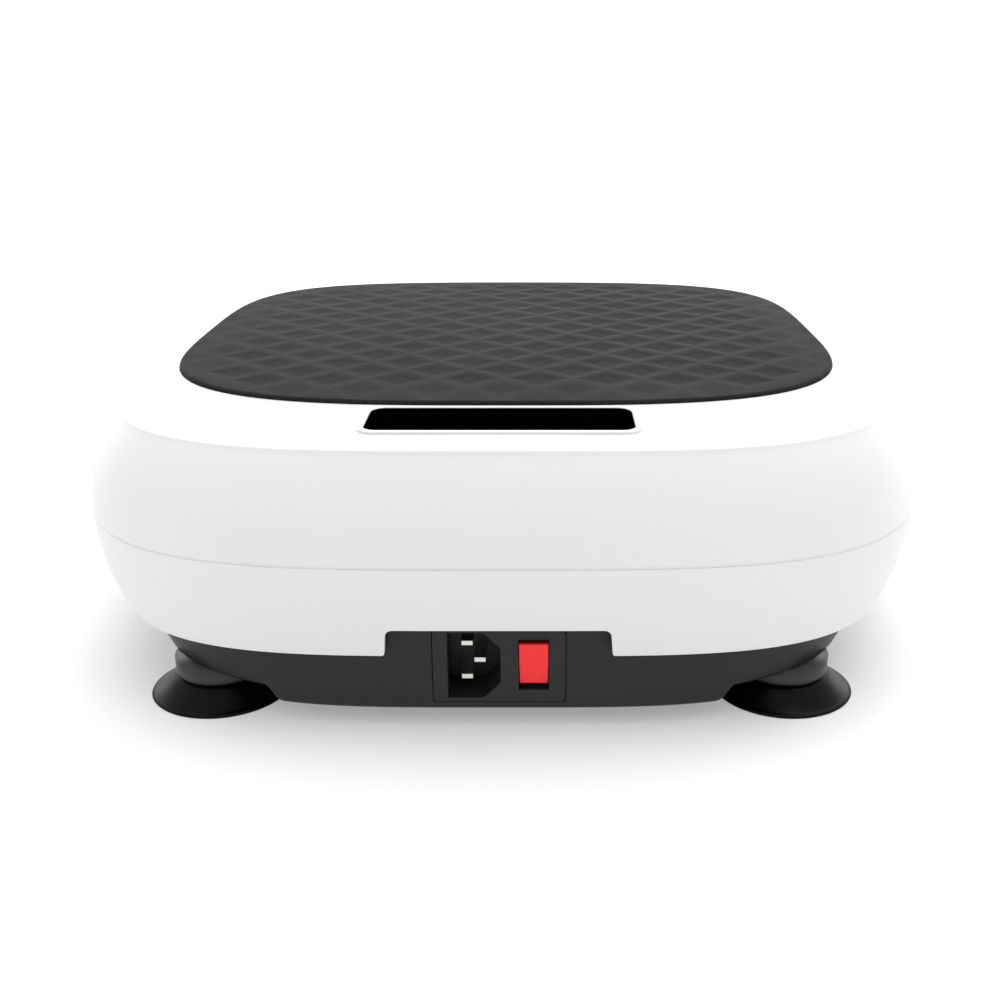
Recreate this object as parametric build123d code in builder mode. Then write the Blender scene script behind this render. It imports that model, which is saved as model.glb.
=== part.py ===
from build123d import *
import math
import os

os.makedirs("parts", exist_ok=True)

# Vibration plate. +Z is up and -Y is the side with the display, the mains inlet and the switch.
# The origin is on the floor, under the middle of the plate. Millimetres.

# Shell: a squarish plan whose walls bulge out to a waist and come back in to the deck.
waist_half_width = 191.0
waist_half_depth = 208.0
waist_power = 3.7
waist_z = 73.0
edge_half_width = 178.0
edge_half_depth = 204.0
edge_power = 4.0
edge_z = 34.5
deck_half_width = 177.5
deck_half_depth = 189.0
deck_power = 3.6
deck_z = 118.2
deck_crown_radius = 9500.0
deck_edge_radius = 4.0
shell_wall = 2.8
ceiling_z = 112.5

# Standing mat, laid in a shallow pocket of the deck.
mat_half_width = 164.0
mat_half_depth = 154.0
mat_power = 3.6
mat_centre_y = 24.0
mat_floor_z = 115.0
mat_proud = 1.7
mat_gap = 0.3

# Display: a glossy lens in a raised frame, with its electronics beneath.
lens_width = 110.5
lens_depth = 34.5
lens_thickness = 1.8
lens_centre_y = -150.75
lens_corner = 4.5
lens_gap = 0.1
bezel_width = 116.5
bezel_depth = 40.5
bezel_centre_y = -151.5
bezel_corner = 8.0
bezel_top_z = 117.7
bezel_gap = 0.15
ledge_width = 3.0
led_width = 56.0
led_depth = 22.0
touch_key_x = 39.3
touch_key_pitch = 15.0
touch_spring_radius = 4.0
ir_offset_x = 48.0
ir_radius = 2.5

# Base tray, steel base plate and the gap between the tray and the rocking shell.
tray_bottom_z = 9.0
tray_rim_z = 52.0
tray_bottom_half_width = 157.0
tray_rim_half_width = 172.0
tray_half_depth = 199.0
tray_power = 4.0
tray_wall = 3.0
base_plate_z = 20.0
base_plate_thickness = 3.0
base_plate_inset = 2.0
notch_width = 90.0
notch_top_z = 46.5
notch_draft = 1.5
notch_corner = 3.0

# Feet: rubber suction cups under plastic collars, bolted to the base plate.
foot_x = 121.6
foot_y = 163.0
cup_rim_radius = 30.0
cup_neck_radius = 20.0
cup_height = 9.0
cup_lip = 2.2
collar_radius = 19.0
foot_recess_z = 17.0
foot_recess_radius = 43.5
foot_recess_draft = 6.0
foot_bolt_radius = 4.0

# Rocking axis of the platform, front to back, and its two pivots.
axis_z = 62.0
rock_angle = 2.0
pivot_y = 125.0
axle_radius = 8.0
axle_length = 50.0
bush_wall = 2.0
running_gap = 0.05
pivot_block_width = 40.0
pivot_block_length = 20.0
ear_thickness = 6.0
ear_gap = 5.0
hanger_width = 44.0

# Platform frame under the deck.
frame_z = 100.0
frame_thickness = 3.0
frame_half_width = 160.0
frame_half_depth = 168.0
rail_x = 31.0
rail_width = 12.0
rail_height = 7.0
rail_length = 300.0

# Drive shaft with two eccentrics, its blocks and bearings, and the yokes that they push.
shaft_x = -80.0
shaft_radius = 7.5
shaft_length = 184.0
block_y = 52.0
block_thickness = 16.0
block_width = 64.0
bearing_radius = 17.5
bearing_width = 11.0
yoke_y = 78.0
yoke_thickness = 10.0
yoke_wall = 7.5
eccentric_throw = abs(shaft_x) * math.sin(math.radians(rock_angle))
eccentric_radius = 11.0
eccentric_width = 12.0
eccentric_bearing_radius = 16.0
yoke_clearance = 0.8

# Motor, pulleys and belt.
motor_x = 75.0
motor_radius = 33.0
motor_wall = 2.5
motor_front_y = 12.0
motor_length = 96.0
motor_shaft_radius = 4.0
magnet_thickness = 5.0
magnet_gap = 0.8
motor_pulley_radius = 11.0
drive_pulley_radius = 30.0
belt_width = 12.0
belt_thickness = 3.0
belt_gap = 0.3
flange_height = 2.5
flange_thickness = 1.5

# Mains inlet and switch module, set flush in the front of the tray.
module_width = 53.4
module_height = 31.2
module_z = 27.4
module_thickness = 3.0
module_corner = 1.5
module_gap = 0.35
inlet_x = -10.1
inlet_z = 27.9
inlet_width = 21.4
inlet_height = 28.9
inlet_chamfer = 6.8
inlet_depth = 18.0
inlet_wall = 1.2
pin_pitch = 15.0
pin_offset_x = -3.0
earth_offset_x = 5.2
pin_width = 5.0
pin_thickness = 2.4
pin_setback = 5.0
switch_x = 13.95
switch_z = 28.05
switch_width = 12.3
switch_height = 22.2
switch_pivot_depth = 6.0
switch_half_throw = 9.0
switch_side_gap = 0.2
switch_body_depth = 20.0

# Fasteners and electronics on the base plate.
bolt_radius = 3.0
bolt_head_radius = 5.0
bolt_head_height = 4.0
screw_radius = 2.0
screw_head_radius = 3.6
screw_head_height = 2.4
boss_radius = 5.5
deck_boss_xs = (-106.0, -60.0, 60.0, 106.0)
deck_boss_y = 95.0
seam_boss_x = 182.0
seam_boss_height = 20.0
seam_boss_ys = (-60.0, 60.0)
tray_boss_x = 85.0
tray_boss_y = 140.0
buffer_x = 128.0
buffer_y = 90.0
buffer_radius = 12.0
buffer_post_radius = 9.0
buffer_post_z = 80.0
buffer_gap = 1.0
board_x = 79.0
board_y = -95.0
board_width = 78.0
board_depth = 62.0
board_thickness = 1.6
standoff_height = 6.0

plate_top_z = base_plate_z + base_plate_thickness
front_y = -tray_half_depth
plan_points = 48


def plan_outline(half_width, half_depth, power, centre_y=0.0):
    """Points of |x / a| ** n + |y / b| ** n = 1, at even turns about the centre."""
    points = []
    for step in range(plan_points):
        turn = 2.0 * math.pi * step / plan_points
        across = abs(math.cos(turn) / half_width) ** power
        along = abs(math.sin(turn) / half_depth) ** power
        reach = (across + along) ** (-1.0 / power)
        points.append((reach * math.cos(turn), centre_y + reach * math.sin(turn)))
    return points


def shell_size(level):
    """Half width, half depth and power of the shell's plan at a height."""
    if level < waist_z:
        far = (edge_half_width, edge_half_depth, edge_power)
        share = ((waist_z - level) / (waist_z - edge_z)) ** 2
    else:
        far = (deck_half_width, deck_half_depth, deck_power)
        share = ((level - waist_z) / (deck_z - waist_z)) ** 2
    waist = (waist_half_width, waist_half_depth, waist_power)
    return [near + (end - near) * share for near, end in zip(waist, far)]


def tray_size(level):
    """Half width, half depth and power of the tray's plan at a height."""
    share = (level - tray_bottom_z) / (edge_z - tray_bottom_z)
    half_width = tray_bottom_half_width + (tray_rim_half_width - tray_bottom_half_width) * min(share, 1.0)
    return [half_width, tray_half_depth, tray_power]


def stacked(size_at, levels, inset):
    """A solid lofted through the plans at the given heights, each drawn in by an inset."""
    with BuildPart() as stack:
        for level in levels:
            half_width, half_depth, power = size_at(level)
            with BuildSketch(Plane.XY.offset(level)):
                with BuildLine():
                    Spline(*plan_outline(half_width - inset, half_depth - inset, power), periodic=True)
                make_face()
        loft()
    return stack.part


def slab(half_width, half_depth, power, centre_y, bottom, top):
    """A flat plate with a rounded-square plan between two heights."""
    with BuildPart() as plate:
        with BuildSketch(Plane.XY.offset(bottom)):
            with BuildLine():
                Spline(*plan_outline(half_width, half_depth, power, centre_y), periodic=True)
            make_face()
        extrude(amount=top - bottom)
    return plate.part


def crowned_cap(top):
    """A very large ball whose highest point is at a height: it gives the deck its slight crown."""
    with BuildPart() as ball:
        with Locations((0, 0, top - deck_crown_radius)):
            Sphere(deck_crown_radius, rotation=(90, 0, 0))
    return ball.part


def spread(low, high, count):
    """Evenly spaced heights from low to high."""
    return [low + (high - low) * step / (count - 1) for step in range(count)]


# ---------------------------------------------------------------- shells and mat
cap_over = 6.0
outer_upper = stacked(shell_size, spread(waist_z, deck_z + cap_over, 5), 0.0)
inner_upper = stacked(shell_size, spread(waist_z - 1.0, ceiling_z, 4), shell_wall)
outer_lower = stacked(shell_size, spread(edge_z, waist_z, 4), 0.0)
inner_lower = stacked(shell_size, spread(edge_z - 1.0, waist_z + 1.0, 4), shell_wall)
mat_pocket = slab(
    mat_half_width + mat_gap, mat_half_depth + mat_gap, mat_power, mat_centre_y, mat_floor_z, deck_z + cap_over
)
deck_boss_places = [(x, side * deck_boss_y) for x in deck_boss_xs for side in (-1, 1)]
seam_boss_places = [(side * seam_boss_x, y) for side in (-1, 1) for y in seam_boss_ys]

with BuildPart() as top_shell:
    add(outer_upper)
    add(crowned_cap(deck_z), mode=Mode.INTERSECT)
    fillet(top_shell.faces().sort_by(Axis.Z)[-1].edges(), radius=deck_edge_radius)
    add(inner_upper, mode=Mode.SUBTRACT)
    add(mat_pocket, mode=Mode.SUBTRACT)
    with BuildSketch(Plane.XY.offset(frame_z + frame_thickness)):
        with Locations(*deck_boss_places):
            Circle(boss_radius)
    extrude(amount=ceiling_z + 1.0 - frame_z - frame_thickness)
    with BuildSketch(Plane.XY.offset(waist_z)):
        with Locations(*seam_boss_places):
            Circle(boss_radius)
    extrude(amount=seam_boss_height)
    with BuildSketch(Plane.XY.offset(waist_z)):
        with Locations(*deck_boss_places, *seam_boss_places):
            Circle(screw_radius)
    extrude(amount=mat_floor_z - 4.0 - waist_z, mode=Mode.SUBTRACT)
    with BuildSketch(Plane.XY.offset(ceiling_z - 1.0)):
        with Locations((0, bezel_centre_y)):
            RectangleRounded(bezel_width + 2 * bezel_gap, bezel_depth + 2 * bezel_gap, bezel_corner)
    extrude(amount=cap_over + deck_z - ceiling_z, mode=Mode.SUBTRACT)
top_shell.part.label = "top_shell"
export_step(top_shell.part, "parts/top_shell.step")

seam_tab_thickness = 3.0
seam_tab_length = 17.0
with BuildPart() as lower_shell:
    add(outer_lower)
    add(inner_lower, mode=Mode.SUBTRACT)
    with BuildSketch(Plane.XZ.offset(edge_half_depth - 30.0)) as notch:
        with BuildLine():
            Polyline(
                (-notch_width / 2 - notch_draft, edge_z - notch_top_z + edge_z),
                (-notch_width / 2 + notch_draft, notch_top_z),
                (notch_width / 2 - notch_draft, notch_top_z),
                (notch_width / 2 + notch_draft, edge_z - notch_top_z + edge_z),
                close=True,
            )
        make_face()
        fillet(notch.vertices().group_by(Axis.Y)[-1], radius=notch_corner)
    extrude(amount=60.0, mode=Mode.SUBTRACT)
    with BuildSketch(Plane.XY.offset(waist_z - seam_tab_thickness)):
        with Locations(*[(x * (seam_boss_x - 1.5) / seam_boss_x, y) for x, y in seam_boss_places]):
            Rectangle(seam_tab_length, 2 * boss_radius)
        with Locations(*seam_boss_places):
            Circle(screw_radius, mode=Mode.SUBTRACT)
    extrude(amount=seam_tab_thickness)
lower_shell.part.label = "lower_shell"
export_step(lower_shell.part, "parts/lower_shell.step")

mat_blank = slab(mat_half_width, mat_half_depth, mat_power, mat_centre_y, mat_floor_z, deck_z + cap_over)
with BuildPart() as mat:
    add(mat_blank)
    add(crowned_cap(deck_z + mat_proud), mode=Mode.INTERSECT)
mat.part.label = "mat"
export_step(mat.part, "parts/mat.step")

# ---------------------------------------------------------------- display
lens_floor_z = bezel_top_z - 0.5 - lens_thickness
with BuildPart() as display_bezel:
    with BuildSketch(Plane.XY.offset(ceiling_z)):
        with Locations((0, bezel_centre_y)):
            RectangleRounded(bezel_width, bezel_depth, bezel_corner)
    extrude(amount=bezel_top_z - ceiling_z)
    fillet(display_bezel.faces().sort_by(Axis.Z)[-1].edges(), radius=0.8)
    with BuildSketch(Plane.XY.offset(lens_floor_z)):
        with Locations((0, lens_centre_y)):
            RectangleRounded(lens_width + 2 * lens_gap, lens_depth + 2 * lens_gap, lens_corner)
    extrude(amount=bezel_top_z - lens_floor_z, mode=Mode.SUBTRACT)
    with BuildSketch(Plane.XY.offset(ceiling_z)):
        with Locations((0, lens_centre_y)):
            RectangleRounded(lens_width - 2 * ledge_width, lens_depth - 2 * ledge_width, lens_corner)
    extrude(amount=bezel_top_z - ceiling_z, mode=Mode.SUBTRACT)
display_bezel.part.label = "display_bezel"
export_step(display_bezel.part, "parts/display_bezel.step")

with BuildPart() as display_lens:
    with BuildSketch(Plane.XY.offset(lens_floor_z)):
        with Locations((0, lens_centre_y)):
            RectangleRounded(lens_width, lens_depth, lens_corner)
    extrude(amount=lens_thickness)
display_lens.part.label = "display_lens"
export_step(display_lens.part, "parts/display_lens.step")

housing_wall = 1.5
housing_z = frame_z + frame_thickness + 0.5
control_board_z = housing_z + housing_wall + 2.0
control_board_top = control_board_z + board_thickness
touch_places = [
    (side * touch_key_x, lens_centre_y + row * touch_key_pitch / 2) for side in (-1, 1) for row in (-1, 1)
]
with BuildPart() as control_housing:
    with BuildSketch(Plane.XY.offset(housing_z)):
        with Locations((0, bezel_centre_y)):
            RectangleRounded(bezel_width - 2, bezel_depth - 4, bezel_corner / 2)
    extrude(amount=ceiling_z - housing_z)
    with BuildSketch(Plane.XY.offset(housing_z + housing_wall)):
        with Locations((0, bezel_centre_y)):
            RectangleRounded(bezel_width - 2 - 2 * housing_wall, bezel_depth - 4 - 2 * housing_wall, 2.0)
    extrude(amount=ceiling_z - housing_z, mode=Mode.SUBTRACT)
    with BuildSketch(Plane.XY.offset(housing_z + housing_wall)):
        with Locations((0, lens_centre_y)):
            with GridLocations(60, 16, 2, 2):
                Circle(2.5)
    extrude(amount=control_board_z - housing_z - housing_wall)
control_housing.part.label = "control_housing"
export_step(control_housing.part, "parts/control_housing.step")

with BuildPart() as control_board:
    with BuildSketch(Plane.XY.offset(control_board_z)):
        with Locations((0, lens_centre_y)):
            Rectangle(lens_width - 6, lens_depth - 5)
    extrude(amount=board_thickness)
control_board.part.label = "control_board"
export_step(control_board.part, "parts/control_board.step")

with BuildPart() as led_display:
    with BuildSketch(Plane.XY.offset(control_board_top)):
        with Locations((0, lens_centre_y)):
            Rectangle(led_width, led_depth)
    extrude(amount=lens_floor_z - 1.0 - control_board_top)
led_display.part.label = "led_display"
export_step(led_display.part, "parts/led_display.step")

with BuildPart() as touch_springs:
    with BuildSketch(Plane.XY.offset(control_board_top)):
        with Locations(*touch_places):
            Circle(touch_spring_radius)
            Circle(touch_spring_radius - 0.8, mode=Mode.SUBTRACT)
    extrude(amount=lens_floor_z - 0.2 - control_board_top)
touch_springs.part.label = "touch_springs"
export_step(touch_springs.part, "parts/touch_springs.step")

with BuildPart() as ir_receiver:
    with BuildSketch(Plane.XY.offset(control_board_top)):
        with Locations((-ir_offset_x, lens_centre_y)):
            Circle(ir_radius)
    extrude(amount=lens_floor_z - 0.5 - control_board_top)
ir_receiver.part.label = "ir_receiver"
export_step(ir_receiver.part, "parts/ir_receiver.step")

# ---------------------------------------------------------------- platform frame and its brackets
with BuildPart() as platform_frame:
    add(slab(frame_half_width, frame_half_depth, deck_power, 0.0, frame_z, frame_z + frame_thickness))
    with BuildSketch(Plane.XY.offset(frame_z - rail_height)):
        with Locations((-rail_x, 0), (rail_x, 0)):
            Rectangle(rail_width, rail_length)
    extrude(amount=rail_height)
    with BuildSketch(Plane.XY.offset(frame_z)):
        with Locations(*deck_boss_places):
            Circle(screw_radius)
    extrude(amount=frame_thickness, mode=Mode.SUBTRACT)
platform_frame.part.label = "platform_frame"
export_step(platform_frame.part, "parts/platform_frame.step")

with BuildPart() as deck_screws:
    with BuildSketch(Plane.XY.offset(frame_z - screw_head_height)):
        with Locations(*deck_boss_places):
            Circle(screw_head_radius)
    extrude(amount=screw_head_height)
    with BuildSketch(Plane.XY.offset(frame_z)):
        with Locations(*deck_boss_places):
            Circle(screw_radius)
    extrude(amount=frame_thickness + 7.0)
deck_screws.part.label = "deck_screws"
export_step(deck_screws.part, "parts/deck_screws.step")

seam_screw_z = waist_z - seam_tab_thickness
with BuildPart() as seam_screws:
    with BuildSketch(Plane.XY.offset(seam_screw_z - screw_head_height)):
        with Locations(*seam_boss_places):
            Circle(screw_head_radius)
    extrude(amount=screw_head_height)
    with BuildSketch(Plane.XY.offset(seam_screw_z)):
        with Locations(*seam_boss_places):
            Circle(screw_radius)
    extrude(amount=seam_tab_thickness + 12.0)
seam_screws.part.label = "seam_screws"
export_step(seam_screws.part, "parts/seam_screws.step")

bush_outer_radius = axle_radius + running_gap + bush_wall
ear_offset = pivot_block_length / 2 + ear_gap + ear_thickness / 2
hanger_length = 2 * ear_offset + ear_thickness
hanger_boss_radius = bush_outer_radius + 6.0
axis_places = {"front": -pivot_y, "rear": pivot_y}
for place, y in axis_places.items():
    with BuildPart() as pivot_hanger:
        with BuildSketch(Plane.XZ.offset(-y - hanger_length / 2)):
            with BuildLine():
                Polyline(
                    (-hanger_width / 2, frame_z),
                    (-hanger_boss_radius, axis_z),
                    (hanger_boss_radius, axis_z),
                    (hanger_width / 2, frame_z),
                    close=True,
                )
            make_face()
            with Locations((0, axis_z)):
                Circle(hanger_boss_radius)
                Circle(bush_outer_radius, mode=Mode.SUBTRACT)
        extrude(amount=hanger_length)
        with Locations((0, y, (frame_z - ear_thickness) / 2)):
            Box(2 * hanger_width, hanger_length - 2 * ear_thickness, frame_z - ear_thickness, mode=Mode.SUBTRACT)
    pivot_hanger.part.label = f"pivot_hanger_{place}"
    export_step(pivot_hanger.part, f"parts/pivot_hanger_{place}.step")

ear_ys = [y + side * ear_offset for y in axis_places.values() for side in (-1, 1)]
with BuildPart() as pivot_bushes:
    for y in ear_ys:
        with BuildSketch(Plane.XZ.offset(-y - ear_thickness / 2)):
            with Locations((0, axis_z)):
                Circle(bush_outer_radius)
                Circle(axle_radius + running_gap, mode=Mode.SUBTRACT)
        extrude(amount=ear_thickness)
pivot_bushes.part.label = "pivot_bushes"
export_step(pivot_bushes.part, "parts/pivot_bushes.step")

# The eccentric moves up and down in the yoke's window and slides across it.
yoke_reach = eccentric_bearing_radius + eccentric_throw
window_half_height = yoke_reach + eccentric_throw + yoke_clearance
window_half_width = yoke_reach + yoke_clearance + 1.0
with BuildPart() as drive_yokes:
    for y in (-yoke_y, yoke_y):
        with BuildSketch(Plane.XZ.offset(-y - yoke_thickness / 2)):
            with Locations((shaft_x, (frame_z + axis_z - window_half_height - yoke_wall) / 2)):
                Rectangle(
                    2 * (window_half_width + yoke_wall),
                    frame_z - axis_z + window_half_height + yoke_wall,
                )
            with Locations((shaft_x, axis_z)):
                Rectangle(2 * window_half_width, 2 * window_half_height, mode=Mode.SUBTRACT)
        extrude(amount=yoke_thickness)
drive_yokes.part.label = "drive_yokes"
export_step(drive_yokes.part, "parts/drive_yokes.step")

# ---------------------------------------------------------------- base tray and base plate
foot_places = {
    "front_left": (-foot_x, -foot_y),
    "front_right": (foot_x, -foot_y),
    "rear_left": (-foot_x, foot_y),
    "rear_right": (foot_x, foot_y),
}
tray_boss_places = [(x, y) for x in (-tray_boss_x, tray_boss_x) for y in (-tray_boss_y, tray_boss_y)]
tray_levels = [tray_bottom_z, (tray_bottom_z + edge_z) / 2, edge_z]
tray_outer_low = stacked(tray_size, tray_levels, 0.0)
tray_inner_low = stacked(tray_size, tray_levels, tray_wall)
with BuildPart() as tray_cavity:
    add(tray_inner_low)
    add(slab(tray_rim_half_width - tray_wall, tray_half_depth - tray_wall, tray_power, 0.0, edge_z, tray_rim_z + 1.0))
    with Locations((0, 0, tray_bottom_z)):
        Box(
            4 * tray_half_depth,
            4 * tray_half_depth,
            2 * tray_wall,
            mode=Mode.SUBTRACT,
        )
    with BuildSketch(Plane.XY.offset(tray_bottom_z)):
        with Locations(*foot_places.values()):
            Circle(foot_recess_radius + tray_wall)
        with Locations(*tray_boss_places):
            Circle(boss_radius)
    extrude(amount=base_plate_z - tray_bottom_z, mode=Mode.SUBTRACT)

with BuildPart() as base_tray:
    add(tray_outer_low)
    add(slab(tray_rim_half_width, tray_half_depth, tray_power, 0.0, edge_z, tray_rim_z))
    add(tray_cavity.part, mode=Mode.SUBTRACT)
    with Locations(*[(x, y, (tray_bottom_z + foot_recess_z) / 2) for x, y in foot_places.values()]):
        Cone(
            foot_recess_radius,
            foot_recess_radius - foot_recess_draft,
            foot_recess_z - tray_bottom_z,
            mode=Mode.SUBTRACT,
        )
    with BuildSketch(Plane.XY.offset(foot_recess_z)):
        with Locations(*foot_places.values()):
            Circle(foot_bolt_radius)
    extrude(amount=base_plate_z - foot_recess_z, mode=Mode.SUBTRACT)
    with BuildSketch(Plane.XZ.offset(tray_half_depth + 1.0)):
        with Locations((0, module_z)):
            RectangleRounded(module_width + 2 * module_gap, module_height + 2 * module_gap, module_corner)
    extrude(amount=-tray_wall - 2.0, mode=Mode.SUBTRACT)
base_tray.part.label = "base_tray"
export_step(base_tray.part, "parts/base_tray.step")

plate_half_width = tray_size(base_plate_z)[0] - tray_wall - base_plate_inset
plate_half_depth = tray_half_depth - tray_wall - base_plate_inset
module_bay_depth = 45.0
with BuildPart() as base_plate:
    add(slab(plate_half_width, plate_half_depth, tray_power, 0.0, base_plate_z, plate_top_z))
    with BuildSketch(Plane.XY.offset(base_plate_z)):
        with Locations((0, front_y + module_bay_depth / 2)):
            Rectangle(module_width + 12.0, module_bay_depth)
        with Locations(*foot_places.values()):
            Circle(foot_bolt_radius)
        with Locations(*tray_boss_places):
            Circle(screw_radius)
    extrude(amount=base_plate_thickness, mode=Mode.SUBTRACT)
base_plate.part.label = "base_plate"
export_step(base_plate.part, "parts/base_plate.step")

with BuildPart() as plate_screws:
    with BuildSketch(Plane.XY.offset(plate_top_z)):
        with Locations(*tray_boss_places):
            Circle(screw_head_radius)
    extrude(amount=screw_head_height)
    with BuildSketch(Plane.XY.offset(base_plate_z)):
        with Locations(*tray_boss_places):
            Circle(screw_radius)
    extrude(amount=base_plate_thickness)
plate_screws.part.label = "plate_screws"
export_step(plate_screws.part, "parts/plate_screws.step")

# ---------------------------------------------------------------- feet
bolt_pocket_z = 4.0
for place, (x, y) in foot_places.items():
    with BuildPart() as suction_cup:
        with BuildSketch(Plane(origin=(x, y, 0), x_dir=(1, 0, 0), z_dir=(0, -1, 0))):
            with BuildLine():
                Polyline(
                    (0, bolt_pocket_z),
                    (collar_radius - 4.0, bolt_pocket_z),
                    (cup_rim_radius - cup_lip, 0),
                    (cup_rim_radius, 0),
                    (cup_rim_radius, 0.8),
                )
                ThreePointArc(
                    (cup_rim_radius, 0.8),
                    ((cup_rim_radius + cup_neck_radius) / 2 - 0.5, cup_height / 2),
                    (cup_neck_radius, cup_height),
                )
                Polyline((cup_neck_radius, cup_height), (0, cup_height), (0, bolt_pocket_z))
            make_face()
        revolve(axis=Axis((x, y, 0), (0, 0, 1)))
        with BuildSketch(Plane.XY.offset(bolt_pocket_z)):
            with Locations((x, y)):
                Circle(foot_bolt_radius)
        extrude(amount=cup_height - bolt_pocket_z, mode=Mode.SUBTRACT)
    suction_cup.part.label = f"suction_cup_{place}"
    export_step(suction_cup.part, f"parts/suction_cup_{place}.step")

    with BuildPart() as foot_collar:
        with BuildSketch(Plane.XY.offset(cup_height)):
            with Locations((x, y)):
                Circle(collar_radius)
                Circle(foot_bolt_radius, mode=Mode.SUBTRACT)
        extrude(amount=foot_recess_z - cup_height)
    foot_collar.part.label = f"foot_collar_{place}"
    export_step(foot_collar.part, f"parts/foot_collar_{place}.step")

nut_height = 5.0
with BuildPart() as foot_bolts:
    with BuildSketch(Plane.XY.offset(bolt_pocket_z)):
        with Locations(*foot_places.values()):
            Circle(foot_bolt_radius)
    extrude(amount=plate_top_z - bolt_pocket_z)
    with BuildSketch(Plane.XY.offset(plate_top_z)):
        with Locations(*foot_places.values()):
            RegularPolygon(foot_bolt_radius + 2.5, 6)
    extrude(amount=nut_height)
foot_bolts.part.label = "foot_bolts"
export_step(foot_bolts.part, "parts/foot_bolts.step")

# ---------------------------------------------------------------- pivots on the base plate
pivot_crown_radius = axle_radius + 6.0
for place, y in axis_places.items():
    with BuildPart() as pivot_block:
        with BuildSketch(Plane.XZ.offset(-y - pivot_block_length / 2)):
            with BuildLine():
                Polyline(
                    (-pivot_block_width / 2, plate_top_z),
                    (-pivot_crown_radius, axis_z),
                    (pivot_crown_radius, axis_z),
                    (pivot_block_width / 2, plate_top_z),
                    close=True,
                )
            make_face()
            with Locations((0, axis_z)):
                Circle(pivot_crown_radius)
                Circle(axle_radius, mode=Mode.SUBTRACT)
        extrude(amount=pivot_block_length)
        with BuildSketch(Plane.XY.offset(plate_top_z)):
            with Locations((0, y)):
                Rectangle(pivot_block_width + 30.0, pivot_block_length)
        extrude(amount=5.0)
    pivot_block.part.label = f"pivot_block_{place}"
    export_step(pivot_block.part, f"parts/pivot_block_{place}.step")

with BuildPart() as pivot_axles:
    for y in axis_places.values():
        with BuildSketch(Plane.XZ.offset(-y - axle_length / 2)):
            with Locations((0, axis_z)):
                Circle(axle_radius)
        extrude(amount=axle_length)
pivot_axles.part.label = "pivot_axles"
export_step(pivot_axles.part, "parts/pivot_axles.step")

clip_thickness = 1.2
clip_offset = axle_length / 2 - clip_thickness - 1.0
with BuildPart() as axle_clips:
    for y in [centre + side * clip_offset for centre in axis_places.values() for side in (-1, 1)]:
        with BuildSketch(Plane.XZ.offset(-y - clip_thickness / 2)):
            with Locations((0, axis_z)):
                Circle(axle_radius + 3.0)
                Circle(axle_radius, mode=Mode.SUBTRACT)
        extrude(amount=clip_thickness)
axle_clips.part.label = "axle_clips"
export_step(axle_clips.part, "parts/axle_clips.step")

# ---------------------------------------------------------------- drive shaft, blocks and bearings
block_places = {"front": -block_y, "rear": block_y}
block_boss_radius = bearing_radius + 6.0
block_foot_height = 8.0
for place, y in block_places.items():
    with BuildPart() as shaft_block:
        with BuildSketch(Plane.XZ.offset(-y - block_thickness / 2)):
            with Locations((shaft_x, plate_top_z + block_foot_height / 2)):
                Rectangle(block_width, block_foot_height)
            with Locations((shaft_x, (plate_top_z + axis_z) / 2)):
                Rectangle(2 * bearing_radius, axis_z - plate_top_z)
            with Locations((shaft_x, axis_z)):
                Circle(block_boss_radius)
                Circle(shaft_radius + 2.5, mode=Mode.SUBTRACT)
        extrude(amount=block_thickness)
        with BuildSketch(Plane.XZ.offset(-y - bearing_width / 2)):
            with Locations((shaft_x, axis_z)):
                Circle(bearing_radius)
        extrude(amount=bearing_width, mode=Mode.SUBTRACT)
    shaft_block.part.label = f"shaft_block_{place}"
    export_step(shaft_block.part, f"parts/shaft_block_{place}.step")

with BuildPart() as shaft_bearings:
    for y in block_places.values():
        with BuildSketch(Plane.XZ.offset(-y - bearing_width / 2)):
            with Locations((shaft_x, axis_z)):
                Circle(bearing_radius)
                Circle(shaft_radius + running_gap, mode=Mode.SUBTRACT)
        extrude(amount=bearing_width)
shaft_bearings.part.label = "shaft_bearings"
export_step(shaft_bearings.part, "parts/shaft_bearings.step")

eccentric_x = shaft_x - eccentric_throw
with BuildPart() as drive_shaft:
    with BuildSketch(Plane.XZ.offset(-shaft_length / 2)):
        with Locations((shaft_x, axis_z)):
            Circle(shaft_radius)
    extrude(amount=shaft_length)
    for y in (-yoke_y, yoke_y):
        with BuildSketch(Plane.XZ.offset(-y - eccentric_width / 2)):
            with Locations((eccentric_x, axis_z)):
                Circle(eccentric_radius)
        extrude(amount=eccentric_width)
drive_shaft.part.label = "drive_shaft"
export_step(drive_shaft.part, "parts/drive_shaft.step")

with BuildPart() as eccentric_bearings:
    for y in (-yoke_y, yoke_y):
        with BuildSketch(Plane.XZ.offset(-y - eccentric_width / 2)):
            with Locations((eccentric_x, axis_z)):
                Circle(eccentric_bearing_radius)
                Circle(eccentric_radius, mode=Mode.SUBTRACT)
        extrude(amount=eccentric_width)
eccentric_bearings.part.label = "eccentric_bearings"
export_step(eccentric_bearings.part, "parts/eccentric_bearings.step")

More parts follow.
